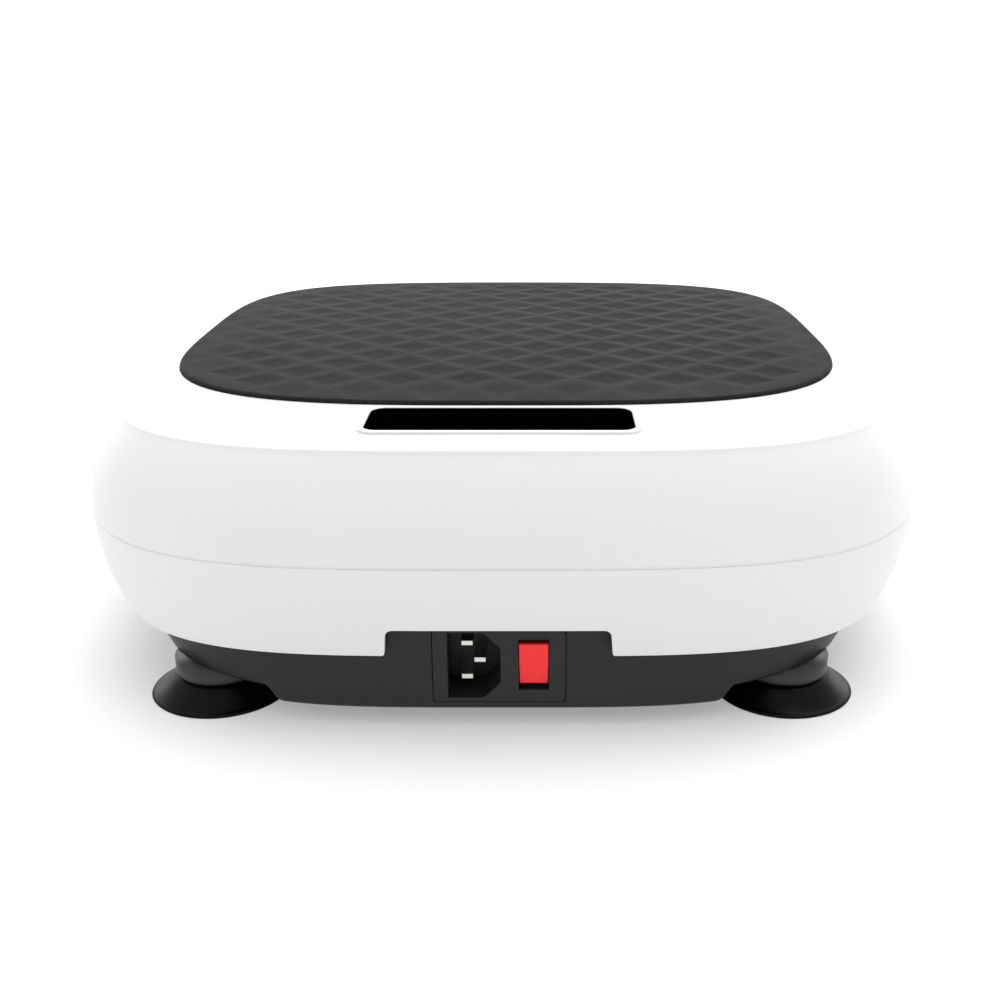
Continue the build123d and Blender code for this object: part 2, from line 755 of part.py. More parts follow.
# ---------------------------------------------------------------- pulleys and belt
rim_half = belt_width / 2 + belt_gap
pulley_half = rim_half + flange_thickness
pulleys = {
    "drive_pulley": (shaft_x, drive_pulley_radius, shaft_radius),
    "motor_pulley": (motor_x, motor_pulley_radius, motor_shaft_radius),
}
for name, (x, radius, bore) in pulleys.items():
    with BuildPart() as pulley:
        with BuildSketch(Plane.XZ.offset(-pulley_half)):
            with Locations((x, axis_z)):
                Circle(radius)
                Circle(bore, mode=Mode.SUBTRACT)
        extrude(amount=2 * pulley_half)
        for flange_y in (-pulley_half, rim_half):
            with BuildSketch(Plane.XZ.offset(-flange_y - flange_thickness)):
                with Locations((x, axis_z)):
                    Circle(radius + flange_height)
                    Circle(bore, mode=Mode.SUBTRACT)
            extrude(amount=flange_thickness)
    pulley.part.label = name
    export_step(pulley.part, f"parts/{name}.step")

with BuildPart() as belt_core:
    with BuildSketch(Plane.XZ.offset(-belt_width / 2 - 1.0)) as inner_loop:
        for x, radius, bore in pulleys.values():
            with Locations((x, axis_z)):
                Circle(radius + belt_gap)
        make_hull()
    extrude(amount=belt_width + 2.0)
with BuildPart() as drive_belt:
    with BuildSketch(Plane.XZ.offset(-belt_width / 2)) as outer_loop:
        for x, radius, bore in pulleys.values():
            with Locations((x, axis_z)):
                Circle(radius + belt_gap + belt_thickness)
        make_hull()
    extrude(amount=belt_width)
    add(belt_core.part, mode=Mode.SUBTRACT)
drive_belt.part.label = "drive_belt"
export_step(drive_belt.part, "parts/drive_belt.step")

# ---------------------------------------------------------------- motor
end_bell_thickness = 5.0
can_front_y = motor_front_y + end_bell_thickness
motor_rear_y = motor_front_y + motor_length
magnet_outer_radius = motor_radius - motor_wall
magnet_inner_radius = magnet_outer_radius - magnet_thickness
magnet_front_y = can_front_y + 10.0
magnet_length = 60.0
with BuildPart() as motor_can:
    with BuildSketch(Plane.XZ.offset(-motor_rear_y)):
        with Locations((motor_x, axis_z)):
            Circle(motor_radius)
    extrude(amount=motor_rear_y - can_front_y)
    with BuildSketch(Plane.XZ.offset(-motor_rear_y + motor_wall)):
        with Locations((motor_x, axis_z)):
            Circle(motor_radius - motor_wall)
    extrude(amount=motor_rear_y - can_front_y, mode=Mode.SUBTRACT)
motor_can.part.label = "motor_can"
export_step(motor_can.part, "parts/motor_can.step")

with BuildPart() as motor_end_bell:
    with BuildSketch(Plane.XZ.offset(-can_front_y)):
        with Locations((motor_x, axis_z)):
            Circle(motor_radius)
            Circle(motor_shaft_radius + running_gap, mode=Mode.SUBTRACT)
    extrude(amount=end_bell_thickness)
motor_end_bell.part.label = "motor_end_bell"
export_step(motor_end_bell.part, "parts/motor_end_bell.step")

with BuildPart() as motor_magnets:
    with BuildSketch(Plane.XZ.offset(-magnet_front_y - magnet_length)):
        with Locations((motor_x, axis_z)):
            Circle(magnet_outer_radius)
            Circle(magnet_inner_radius, mode=Mode.SUBTRACT)
            Rectangle(motor_radius, 3 * motor_radius, mode=Mode.SUBTRACT)
    extrude(amount=magnet_length)
motor_magnets.part.label = "motor_magnets"
export_step(motor_magnets.part, "parts/motor_magnets.step")

armature_radius = magnet_inner_radius - magnet_gap
with BuildPart() as motor_armature:
    with BuildSketch(Plane.XZ.offset(-magnet_front_y - magnet_length)):
        with Locations((motor_x, axis_z)):
            Circle(armature_radius)
            Circle(motor_shaft_radius, mode=Mode.SUBTRACT)
    extrude(amount=magnet_length)
motor_armature.part.label = "motor_armature"
export_step(motor_armature.part, "parts/motor_armature.step")

motor_shaft_end = motor_rear_y - motor_wall - 1.0
with BuildPart() as motor_shaft:
    with BuildSketch(Plane.XZ.offset(-motor_shaft_end)):
        with Locations((motor_x, axis_z)):
            Circle(motor_shaft_radius)
    extrude(amount=motor_shaft_end + pulley_half + 3.0)
motor_shaft.part.label = "motor_shaft"
export_step(motor_shaft.part, "parts/motor_shaft.step")

bracket_thickness = 3.0
bracket_half_width = motor_radius - 5.0
with BuildPart() as motor_bracket:
    with BuildSketch(Plane.XZ.offset(-motor_front_y)):
        with Locations((motor_x, (plate_top_z + axis_z) / 2)):
            Rectangle(2 * bracket_half_width, axis_z - plate_top_z)
        with Locations((motor_x, axis_z)):
            Circle(bracket_half_width)
            Circle(motor_shaft_radius + 6.0, mode=Mode.SUBTRACT)
    extrude(amount=bracket_thickness)
    with BuildSketch(Plane.XY.offset(plate_top_z)):
        with Locations((motor_x, motor_front_y + 20.0 - bracket_thickness)):
            Rectangle(2 * bracket_half_width, 40.0)
    extrude(amount=bracket_thickness)
motor_bracket.part.label = "motor_bracket"
export_step(motor_bracket.part, "parts/motor_bracket.step")

# ---------------------------------------------------------------- buffers
buffer_places = [(x, y) for x in (-buffer_x, buffer_x) for y in (-buffer_y, buffer_y)]
buffer_drop = (buffer_x + buffer_radius) * math.tan(math.radians(rock_angle))
buffer_top_z = frame_z - buffer_drop - buffer_gap
with BuildPart() as buffer_posts:
    with BuildSketch(Plane.XY.offset(plate_top_z)):
        with Locations(*buffer_places):
            Circle(buffer_post_radius)
    extrude(amount=buffer_post_z - plate_top_z)
buffer_posts.part.label = "buffer_posts"
export_step(buffer_posts.part, "parts/buffer_posts.step")

with BuildPart() as buffer_pads:
    with BuildSketch(Plane.XY.offset(buffer_post_z)):
        with Locations(*buffer_places):
            Circle(buffer_radius)
    extrude(amount=buffer_top_z - buffer_post_z)
buffer_pads.part.label = "buffer_pads"
export_step(buffer_pads.part, "parts/buffer_pads.step")

# ---------------------------------------------------------------- drive board
board_z = plate_top_z + standoff_height
board_top_z = board_z + board_thickness
standoff_radius = 3.5
with BuildPart() as board_standoffs:
    with BuildSketch(Plane.XY.offset(plate_top_z)):
        with Locations((board_x, board_y)):
            with GridLocations(board_width - 10, board_depth - 10, 2, 2):
                Circle(standoff_radius)
    extrude(amount=standoff_height)
board_standoffs.part.label = "board_standoffs"
export_step(board_standoffs.part, "parts/board_standoffs.step")

with BuildPart() as drive_board:
    with BuildSketch(Plane.XY.offset(board_z)):
        with Locations((board_x, board_y)):
            Rectangle(board_width, board_depth)
    extrude(amount=board_thickness)
drive_board.part.label = "drive_board"
export_step(drive_board.part, "parts/drive_board.step")

heatsink_width = 36.0
heatsink_depth = 24.0
heatsink_height = 24.0
fin_count = 5
fin_thickness = 2.0
fin_pitch = (heatsink_width - fin_thickness) / (fin_count - 1)
with BuildPart() as drive_heatsink:
    with BuildSketch(Plane.XY.offset(board_top_z)):
        with Locations((board_x - 20, board_y + 14)):
            Rectangle(heatsink_width, heatsink_depth)
    extrude(amount=3.0)
    with BuildSketch(Plane.XY.offset(board_top_z + 3.0)):
        with Locations((board_x - 20, board_y + 14)):
            with GridLocations(fin_pitch, 0, fin_count, 1):
                Rectangle(fin_thickness, heatsink_depth)
    extrude(amount=heatsink_height - 3.0)
drive_heatsink.part.label = "drive_heatsink"
export_step(drive_heatsink.part, "parts/drive_heatsink.step")

with BuildPart() as drive_capacitors:
    with BuildSketch(Plane.XY.offset(board_top_z)):
        with Locations((board_x + 18, board_y + 14), (board_x + 18, board_y - 8)):
            Circle(8.0)
    extrude(amount=28.0)
drive_capacitors.part.label = "drive_capacitors"
export_step(drive_capacitors.part, "parts/drive_capacitors.step")

# ---------------------------------------------------------------- bolts of the blocks
block_bolt_places = [
    (shaft_x + side * (block_width / 2 - bolt_head_radius - 1.0), y)
    for side in (-1, 1)
    for y in block_places.values()
]
pivot_bolt_places = [
    (side * (pivot_block_width / 2 + 15.0 - bolt_head_radius - 1.0), y)
    for side in (-1, 1)
    for y in axis_places.values()
]
with BuildPart() as block_bolts:
    with BuildSketch(Plane.XY.offset(plate_top_z + block_foot_height)):
        with Locations(*block_bolt_places):
            RegularPolygon(bolt_head_radius, 6)
    extrude(amount=bolt_head_height)
    with BuildSketch(Plane.XY.offset(plate_top_z + 5.0)):
        with Locations(*pivot_bolt_places):
            RegularPolygon(bolt_head_radius, 6)
    extrude(amount=bolt_head_height)
block_bolts.part.label = "block_bolts"
export_step(block_bolts.part, "parts/block_bolts.step")

# ---------------------------------------------------------------- mains inlet and switch
module_back_y = front_y + module_thickness


def inlet_points(margin):
    """The inlet's opening, with its two corners cut on the +X side, grown by a margin."""
    half_width = inlet_width / 2 + margin
    half_height = inlet_height / 2 + margin
    return [
        (inlet_x - half_width, inlet_z - half_height),
        (inlet_x + half_width - inlet_chamfer, inlet_z - half_height),
        (inlet_x + half_width, inlet_z - half_height + inlet_chamfer),
        (inlet_x + half_width, inlet_z + half_height - inlet_chamfer),
        (inlet_x + half_width - inlet_chamfer, inlet_z + half_height),
        (inlet_x - half_width, inlet_z + half_height),
    ]


with BuildPart() as power_module_plate:
    with BuildSketch(Plane.XZ.offset(tray_half_depth - module_thickness)):
        with Locations((0, module_z)):
            RectangleRounded(module_width, module_height, module_corner)
        with BuildLine():
            Polyline(*inlet_points(0.0), close=True)
        make_face(mode=Mode.SUBTRACT)
        with Locations((switch_x, switch_z)):
            Rectangle(switch_width, switch_height, mode=Mode.SUBTRACT)
    extrude(amount=module_thickness)
power_module_plate.part.label = "power_module_plate"
export_step(power_module_plate.part, "parts/power_module_plate.step")

with BuildPart() as inlet_socket:
    with BuildSketch(Plane.XZ.offset(-module_back_y - inlet_depth)):
        with BuildLine():
            Polyline(*inlet_points(inlet_wall), close=True)
        make_face()
    extrude(amount=inlet_depth)
    with BuildSketch(Plane.XZ.offset(-module_back_y - inlet_depth + inlet_wall)):
        with BuildLine():
            Polyline(*inlet_points(0.0), close=True)
        make_face()
    extrude(amount=inlet_depth, mode=Mode.SUBTRACT)
inlet_socket.part.label = "inlet_socket"
export_step(inlet_socket.part, "parts/inlet_socket.step")

pin_x = inlet_x + pin_offset_x
pin_places = [
    (pin_x, inlet_z - pin_pitch / 2),
    (pin_x, inlet_z + pin_pitch / 2),
    (pin_x + earth_offset_x, inlet_z),
]
pin_root_y = module_back_y + inlet_depth - inlet_wall
pin_tip_y = front_y + pin_setback
with BuildPart() as inlet_pins:
    with BuildSketch(Plane.XZ.offset(-pin_root_y)):
        with Locations(*pin_places):
            Rectangle(pin_width, pin_thickness)
    extrude(amount=pin_root_y - pin_tip_y)
    fillet(inlet_pins.faces().group_by(Axis.Y)[0].edges(), radius=0.5)
inlet_pins.part.label = "inlet_pins"
export_step(inlet_pins.part, "parts/inlet_pins.step")

with BuildPart() as switch_housing:
    with BuildSketch(Plane.XZ.offset(-module_back_y - switch_body_depth)):
        with Locations((switch_x, switch_z)):
            Rectangle(switch_width + 3.0, switch_height + 3.0)
    extrude(amount=switch_body_depth)
    with BuildSketch(Plane.XZ.offset(-module_back_y - switch_body_depth + 2.0)):
        with Locations((switch_x, switch_z)):
            Rectangle(switch_width, switch_height)
    extrude(amount=switch_body_depth, mode=Mode.SUBTRACT)
switch_housing.part.label = "switch_housing"
export_step(switch_housing.part, "parts/switch_housing.step")

# The rocker is drawn level and turned to its off position, with its lower half pressed in.
rocker_end_radius = switch_height / 2 - 0.15
rocker_corner_out = 6.8
rocker_dish = 1.1
rocker_corner_up = math.sqrt(rocker_end_radius**2 - rocker_corner_out**2)
rest_turn = math.radians(switch_half_throw)
pivot_point = (switch_x - switch_width / 2 + switch_side_gap, front_y + switch_pivot_depth, switch_z)
rocker_plane = Plane(origin=pivot_point, x_dir=(0, -math.cos(rest_turn), math.sin(rest_turn)), z_dir=(-1, 0, 0))
end_back = -4.0
end_back_up = math.sqrt(rocker_end_radius**2 - end_back**2)
with BuildPart() as power_rocker:
    with BuildSketch(rocker_plane):
        with BuildLine():
            ThreePointArc(
                (rocker_corner_out, -rocker_corner_up),
                (rocker_corner_out - rocker_dish, 0),
                (rocker_corner_out, rocker_corner_up),
            )
            ThreePointArc(
                (rocker_corner_out, rocker_corner_up),
                (0, rocker_end_radius),
                (end_back, end_back_up),
            )
            Line((end_back, end_back_up), (end_back, -end_back_up))
            ThreePointArc(
                (end_back, -end_back_up),
                (0, -rocker_end_radius),
                (rocker_corner_out, -rocker_corner_up),
            )
        make_face()
    extrude(amount=-(switch_width - 2 * switch_side_gap))
power_rocker.part.label = "power_rocker"
export_step(power_rocker.part, "parts/power_rocker.step")
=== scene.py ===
"""Looks of a vibration plate: a moulded white cover on a grey base tray, four suction feet,
a soft elastomer foot mat with a diamond relief, a black display window and a mains inlet with a
red rocker."""

import math

import bmesh
import bpy
import numpy as np
from mathutils import Matrix, Vector


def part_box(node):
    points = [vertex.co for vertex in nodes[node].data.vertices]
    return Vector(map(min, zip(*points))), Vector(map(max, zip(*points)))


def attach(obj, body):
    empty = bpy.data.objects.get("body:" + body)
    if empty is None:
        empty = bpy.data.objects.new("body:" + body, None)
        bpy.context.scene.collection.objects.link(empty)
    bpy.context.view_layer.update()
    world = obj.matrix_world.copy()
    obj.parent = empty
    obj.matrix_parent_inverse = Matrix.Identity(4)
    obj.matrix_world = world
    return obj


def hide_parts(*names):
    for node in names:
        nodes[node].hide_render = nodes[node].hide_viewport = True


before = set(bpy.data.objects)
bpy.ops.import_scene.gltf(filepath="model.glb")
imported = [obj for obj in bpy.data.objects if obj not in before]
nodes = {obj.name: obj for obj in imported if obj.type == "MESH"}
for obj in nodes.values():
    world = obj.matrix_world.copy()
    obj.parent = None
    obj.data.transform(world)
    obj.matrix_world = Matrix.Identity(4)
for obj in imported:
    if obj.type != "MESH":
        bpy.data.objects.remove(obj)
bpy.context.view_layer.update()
scene = bpy.context.scene


# ---- Room: a camera a little above the deck's height, a pale floor with a lit screen behind it,
# and soft light from above and both sides, so that white plastic stays white. The shader and
# mesh makers that every later piece uses come first, because the floor needs them. ----
class Sock:
    """A shader value: plus, minus, times, divide and power build Math nodes."""

    def __init__(self, tree, socket):
        self.tree = tree
        self.socket = socket

    def math(self, operation, *others):
        node = self.tree.nodes.new("ShaderNodeMath")
        node.operation = operation
        for place, value in enumerate((self,) + others):
            if isinstance(value, Sock):
                self.tree.links.new(value.socket, node.inputs[place])
            else:
                node.inputs[place].default_value = value
        return Sock(self.tree, node.outputs[0])

    def __add__(self, other):
        return self.math("ADD", other)

    def __sub__(self, other):
        return self.math("SUBTRACT", other)

    def __mul__(self, other):
        return self.math("MULTIPLY", other)

    def __truediv__(self, other):
        return self.math("DIVIDE", other)

    def __pow__(self, other):
        return self.math("POWER", other)

    def __neg__(self):
        return self.math("MULTIPLY", -1.0)

    __radd__ = __add__
    __rmul__ = __mul__

    def __rsub__(self, other):
        return (-self) + other

    def __rtruediv__(self, other):
        return self.math("POWER", -1.0) * other

    def step(self, low, high):
        """0 below low and 1 above high, smooth between (high may be the lower one)."""
        share = ((self - low) / (high - low)).math("MAXIMUM", 0.0).math("MINIMUM", 1.0)
        return share * share * (3.0 - 2.0 * share)


class Paint:
    """One material on a Principled shader, with a few ways to vary it in object space."""

    def __init__(self, name, colour, roughness, metallic=0.0, sheen=0.5):
        self.material = bpy.data.materials.new(name)
        self.material.use_nodes = True
        self.tree = self.material.node_tree
        self.shader = next(n for n in self.tree.nodes if n.type == "BSDF_PRINCIPLED")
        self.shader.inputs["Base Color"].default_value = (*colour, 1.0)
        self.shader.inputs["Roughness"].default_value = roughness
        self.shader.inputs["Metallic"].default_value = metallic
        self.shader.inputs["Specular IOR Level"].default_value = sheen
        self.colour = colour
        self.roughness = roughness
        self.spot = self.node("ShaderNodeTexCoord").outputs["Object"]

    def node(self, kind, **settings):
        made = self.tree.nodes.new(kind)
        for key, value in settings.items():
            if hasattr(made, key):
                setattr(made, key, value)
            else:
                made.inputs[key].default_value = value
        return made

    def axes(self):
        split = self.node("ShaderNodeSeparateXYZ")
        self.tree.links.new(self.spot, split.inputs[0])
        return [Sock(self.tree, out) for out in split.outputs]

    def noise(self, scale, detail):
        noise = self.node("ShaderNodeTexNoise", Scale=scale, Detail=detail)
        self.tree.links.new(self.spot, noise.inputs["Vector"])
        return Sock(self.tree, noise.outputs[0])

    def mix(self, share, first, second):
        """Two colours blended by a shader value."""
        blend = self.node("ShaderNodeMix", data_type="RGBA")
        self.tree.links.new(share.socket, blend.inputs[0])
        for place, colour in ((6, first), (7, second)):
            blend.inputs[place].default_value = (*colour, 1.0)
        return Sock(self.tree, blend.outputs[2])

    def feed(self, name, value):
        self.tree.links.new(value.socket, self.shader.inputs[name])

    def bump(self, height, distance):
        bump = self.node("ShaderNodeBump", Strength=1.0, Distance=distance)
        self.tree.links.new(height.socket, bump.inputs["Height"])
        self.tree.links.new(bump.outputs[0], self.shader.inputs["Normal"])

    def moulded(self, grain=900.0, depth=0.00006, spread=0.06, shade=0.06):
        """Moulded or machined surface: fine grain in the relief, slow drift in colour and gloss."""
        slow = self.noise(9.0, 2.0)
        dark = tuple(c * (1.0 - shade) for c in self.colour)
        self.feed("Base Color", self.mix(slow.step(0.35, 0.65), dark, self.colour))
        self.feed("Roughness", (slow - 0.5) * spread * 2.0 + self.roughness)
        self.bump(self.noise(grain, 2.0), depth)
        return self.material


def build(name, points, faces, material, smooth=True):
    """A mesh object whose place is in its vertices."""
    mesh = bpy.data.meshes.new(name)
    mesh.from_pydata([tuple(p) for p in np.asarray(points, float)], [], faces)
    mesh.validate()
    mesh.materials.append(material)
    mesh.polygons.foreach_set("use_smooth", [smooth] * len(mesh.polygons))
    made = bpy.data.objects.new(name, mesh)
    scene.collection.objects.link(made)
    return made


camera = bpy.data.objects.new("camera", bpy.data.cameras.new("camera"))
scene.collection.objects.link(camera)
camera.data.sensor_width = 36.0
camera.data.lens = 1.25 * 36.0
camera.data.shift_x = -0.0384
camera_tilt = Matrix.Rotation(math.radians(70.5), 4, "X")
camera.matrix_world = Matrix.Translation((0.0158, -0.6505, 0.2584)) @ camera_tilt
camera.data.clip_start = 0.01
camera.data.clip_end = 60.0
camera.data.dof.use_dof = False
scene.camera = camera

paper = Paint("paper_sweep", (0.65, 0.65, 0.65), 0.9)
paper.shader.inputs["Emission Strength"].default_value = 0.36
x, y, z = paper.axes()
far = (x ** 2.0 + y ** 2.0) ** 0.5
glow = paper.mix(far.step(0.5, 1.4), (0.8, 0.8, 0.8), (1.6, 1.6, 1.6))
paper.feed("Emission Color", glow)
paper.bump(paper.noise(300.0, 2.0), 0.00003)
corners = [(-12, -9, 0), (12, -9, 0), (12, 14, 0), (-12, 14, 0)]
floor = build("floor", corners, [(0, 1, 2, 3)], paper.material, False)
screen_paint = Paint("lit_screen", (0.9, 0.9, 0.9), 0.9)
screen_paint.shader.inputs["Emission Color"].default_value = (1.0, 1.0, 1.0, 1.0)
screen_paint.shader.inputs["Emission Strength"].default_value = 1.1
corners = [(-9, 5, -0.01), (9, 5, -0.01), (9, 5, 6), (-9, 5, 6)]
screen = build("screen", corners, [(0, 1, 2, 3)], screen_paint.material, False)

world = bpy.data.worlds.new("world")
world.use_nodes = True
world.node_tree.nodes["Background"].inputs[0].default_value = (1.0, 1.0, 1.0, 1.0)
world.node_tree.nodes["Background"].inputs[1].default_value = 0.85
scene.world = world
scene.view_settings.view_transform = "Standard"

for name, spot, aim, size, power in (
    ("top_light", (0.25, 0.45, 1.8), (0.0, 0.0, 0.0), 2.2, 28.0),
    ("left_light", (-1.5, -0.6, 1.0), (0.0, 0.0, 0.05), 1.2, 0.9),
    ("right_light", (1.5, -0.6, 1.0), (0.0, 0.0, 0.05), 1.2, 0.9),
):
    lamp = bpy.data.objects.new(name, bpy.data.lights.new(name, "AREA"))
    lamp.data.energy = power
    lamp.data.size = size
    lamp.location = spot
    lamp.rotation_mode = "QUATERNION"
    lamp.rotation_quaternion = (Vector(aim) - Vector(spot)).to_track_quat("-Z", "Y")
    scene.collection.objects.link(lamp)


# ---- White cover: two injection-moulded shells that meet at the widest line of the body,
# 2.8 mm thick, satin finished outside; the top one has a recess for the mat and the display. ----
WAIST = (191.0, 208.0, 3.7, 73.0)  # half width, half depth, power and height, in millimetres
EDGE = (178.0, 204.0, 4.0, 34.5)
DECK = (177.5, 189.0, 3.6, 118.2)
CROWN_RADIUS = 9500.0
EDGE_ROUND = 2.0  # how far the deck's edge is rounded inward, from ROUND_START upward
ROUND_START = 115.0
SEAM_GAP = 0.04  # each shell stops this far from the waist
MAT_HALF_WIDTH = 164.0
MAT_HALF_DEPTH = 154.0
MAT_CENTRE = 24.0
MAT_FIT = 0.3  # gap between the mat and its recess
MAT_RECESS = 3.0
WINDOW_HALF_WIDTH = 57.8  # the opening under the display's frame
WINDOW_HALF_DEPTH = 19.8
WINDOW_ROUND = 7.0
WINDOW_CENTRE = -151.5
TOP_WALL = 0.0026  # wall thicknesses, in metres
LOW_WALL = 0.0028


def outline(half_width, half_depth, power, turn):
    """Distance from the centre of |x/a|^n + |y/b|^n = 1 in the direction turn."""
    across = np.abs(np.cos(turn) / half_width) ** power
    along = np.abs(np.sin(turn) / half_depth) ** power
    return (across + along) ** (-1.0 / power)


def grid_faces(rows, columns, closed=True, keep=None):
    """Quads of a rows x columns point grid; closed joins the last column to the first."""
    across = np.arange(columns if closed else columns - 1)
    j, i = np.meshgrid(np.arange(rows - 1), across, indexing="ij")
    if keep is not None:
        j, i = j[keep], i[keep]
    j, i = j.ravel(), i.ravel()
    right = (i + 1) % columns
    below, above = j * columns, (j + 1) * columns
    return np.stack([below + i, below + right, above + right, above + i], 1).tolist()


def modified(made, kind, **settings):
    """Adds a modifier with these settings."""
    modifier = made.modifiers.new(kind.lower(), kind)
    for key, value in settings.items():
        setattr(modifier, key, value)


def place(made, body, slot, *replaced):
    """The piece moves with that body and stands for those nodes; slot is not used."""
    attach(made, body)
    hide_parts(*replaced)


def shell_size(high):
    """Half width, half depth and power of the wall at each height: a parabola each way from the waist."""
    low = np.clip((WAIST[3] - high) / (WAIST[3] - EDGE[3]), 0.0, None) ** 2
    top = np.clip((high - WAIST[3]) / (DECK[3] - WAIST[3]), 0.0, None) ** 2
    return [WAIST[k] + low * (EDGE[k] - WAIST[k]) + top * (DECK[k] - WAIST[k]) for k in range(3)]


def crown(x, y):
    """Height of the slightly domed deck, in millimetres."""
    return DECK[3] - (x * x + y * y) / (2.0 * CROWN_RADIUS)


white = Paint("white_satin_abs", (0.74, 0.74, 0.74), 0.38)
white_material = white.moulded(1400.0, 0.00001, 0.05, 0.012)

turn = np.linspace(0.0, 2.0 * np.pi, 721)[:-1]


def ring(half_width, half_depth, power, centre_y=0.0):
    """Points of one plan outline, with the columns of every ring in the same directions."""
    far = outline(half_width, half_depth, power, turn)
    return far * np.cos(turn), far * np.sin(turn) + centre_y


rows = []
for high in np.linspace(WAIST[3] + SEAM_GAP, ROUND_START, 22):
    a, b, n = (float(v) for v in shell_size(np.float64(high)))
    x, y = ring(a, b, n)
    rows.append((x, y, np.full_like(x, high)))
a, b, n = (float(v) for v in shell_size(np.float64(ROUND_START)))
for bend in np.linspace(0.0, 0.5 * math.pi, 9)[1:]:
    inset = EDGE_ROUND * (1.0 - math.cos(bend))
    x, y = ring(a - inset, b - inset, n)
    share = math.sin(bend)
    rows.append((x, y, ROUND_START + share * (crown(x, y) - ROUND_START)))


def mat_power(angle):
    """The mat's outline is squarer at the rear, so its power grows from front to rear."""
    return 3.6 + 0.5 * np.sin(angle)


mat_x, mat_y = ring(MAT_HALF_WIDTH + MAT_FIT, MAT_HALF_DEPTH + MAT_FIT, mat_power(turn), MAT_CENTRE)
edge_x, edge_y = rows[-1][0], rows[-1][1]
for share in np.linspace(0.0, 1.0, 33)[1:]:
    x = edge_x + share * (mat_x - edge_x)
    y = edge_y + share * (mat_y - edge_y)
    rows.append((x, y, crown(x, y)))
for drop, shrink in ((0.35, 0.9985), (MAT_RECESS, 0.998)):
    inner_y = (mat_y - MAT_CENTRE) * shrink + MAT_CENTRE
    rows.append((mat_x * shrink, inner_y, crown(mat_x, mat_y) - drop))
points = np.stack([np.stack(row, 1) for row in rows], 0)
over_x = np.clip(np.abs(points[..., 0]) - (WINDOW_HALF_WIDTH - WINDOW_ROUND), 0.0, None)
over_y = np.clip(np.abs(points[..., 1] - WINDOW_CENTRE) - (WINDOW_HALF_DEPTH - WINDOW_ROUND), 0.0, None)
opened = (np.hypot(over_x, over_y) < WINDOW_ROUND) & (points[..., 2] > 112.0)
beside = opened & np.roll(opened, -1, axis=1)
solid = ~(beside[:-1] & beside[1:])
faces = grid_faces(len(rows), len(turn), True, solid)
upper = build("top_shell_skin", points.reshape(-1, 3) / 1000.0, faces, white_material)
modified(upper, "SOLIDIFY", thickness=TOP_WALL, offset=-1.0)
place(upper, "platform", "shell_white", "top_shell")

side_x = np.linspace(41.0, 47.0, 40)
front_x = np.sort(np.concatenate([np.linspace(-60.0, 60.0, 58), side_x, -side_x]))
low_front = np.arctan2(-EDGE[1], front_x)
low_rest = np.linspace(low_front[-1], low_front[0] + 2.0 * np.pi, 641)[1:-1]
low_turn = np.concatenate([low_front, low_rest])
low_x = outline(EDGE[0], EDGE[1], EDGE[2], low_turn) * np.cos(low_turn)
corner_x = (0.0, 41.3, 42.5, 43.4, 44.0, 44.3, 45.2, 45.5, 46.2, 200.0)
corner_z = (46.5, 46.5, 46.25, 45.6, 44.7, 43.5, 35.6, 34.9, 34.5, 34.5)
edge_low = np.where(np.sin(low_turn) < 0.0, np.interp(np.abs(low_x), corner_x, corner_z), EDGE[3])
lower_rows = []
for share in np.linspace(0.0, 1.0, 28):
    high = edge_low + share * (WAIST[3] - SEAM_GAP - edge_low)
    a, b, n = shell_size(high)
    far = outline(a, b, n, low_turn)
    lower_rows.append((far * np.cos(low_turn), far * np.sin(low_turn), high))
points = np.stack([np.stack(row, 1) for row in lower_rows], 0)
faces = grid_faces(len(lower_rows), len(low_turn))
lower = build("lower_shell_skin", points.reshape(-1, 3) / 1000.0, faces, white_material)
modified(lower, "SOLIDIFY", thickness=LOW_WALL, offset=-1.0)
modified(lower, "BEVEL", width=0.0003, segments=3, limit_method="ANGLE", angle_limit=math.radians(50))
place(lower, "platform", "shell_white", "lower_shell")


# ---- Foot mat: one soft elastomer sheet, moulded with sunken diamonds between flat ridges
# inside a plain border, glued in the deck's recess. ----
PITCH_X = 31.8  # spacing of the diamonds, and the depth at which their first row stands
PITCH_Y = 32.56
ROW0 = -107.3
RIDGE_SHARE = 0.36
BORDER_HALF_WIDTH = 157.0  # no diamond reaches past this outline
BORDER_HALF_DEPTH = 147.5
BORDER_POWER = 3.9
MAT_PROUD = 1.65
MAT_BOTTOM = 115.1
DISH_DEPTH = 0.75
RIM_RADIUS = 1.0
RIM_WIDTH = 1.4

side = np.linspace(-1.0, 1.0, 301)
u, v = np.meshgrid(side, side)
angle = np.arctan2(v, u)
reach = outline(MAT_HALF_WIDTH, MAT_HALF_DEPTH, mat_power(angle), angle)
radius = np.maximum(np.abs(u), np.abs(v))
mx = reach * np.cos(angle) * radius
my = reach * np.sin(angle) * radius + MAT_CENTRE


def diamonds(x, y):
    """1 inside a sunken diamond and 0 on its ridges; only whole diamonds inside the border count."""
    p = x / PITCH_X
    q = (y - ROW0) / PITCH_Y
    down = p + q
    up = p - q
    centre_p = (np.round(down) + np.round(up)) / 2.0
    centre_q = (np.round(down) - np.round(up)) / 2.0
    off = np.maximum(np.abs(down - np.round(down)), np.abs(up - np.round(up)))
    cx, cy = centre_p * PITCH_X, centre_q * PITCH_Y + ROW0
    whole = np.ones_like(x)
    for dx, dy in ((0.5, 0.0), (-0.5, 0.0), (0.0, 0.5), (0.0, -0.5)):
        tip_x, tip_y = cx + dx * PITCH_X, cy + dy * PITCH_Y
        across = np.abs(tip_x / BORDER_HALF_WIDTH) ** BORDER_POWER
        along = np.abs((tip_y - MAT_CENTRE) / BORDER_HALF_DEPTH) ** BORDER_POWER
        whole = whole * (across + along < 1.0)
    return np.clip((0.5 - off) / RIDGE_SHARE, 0.0, 1.0) * whole


dish = diamonds(mx, my)
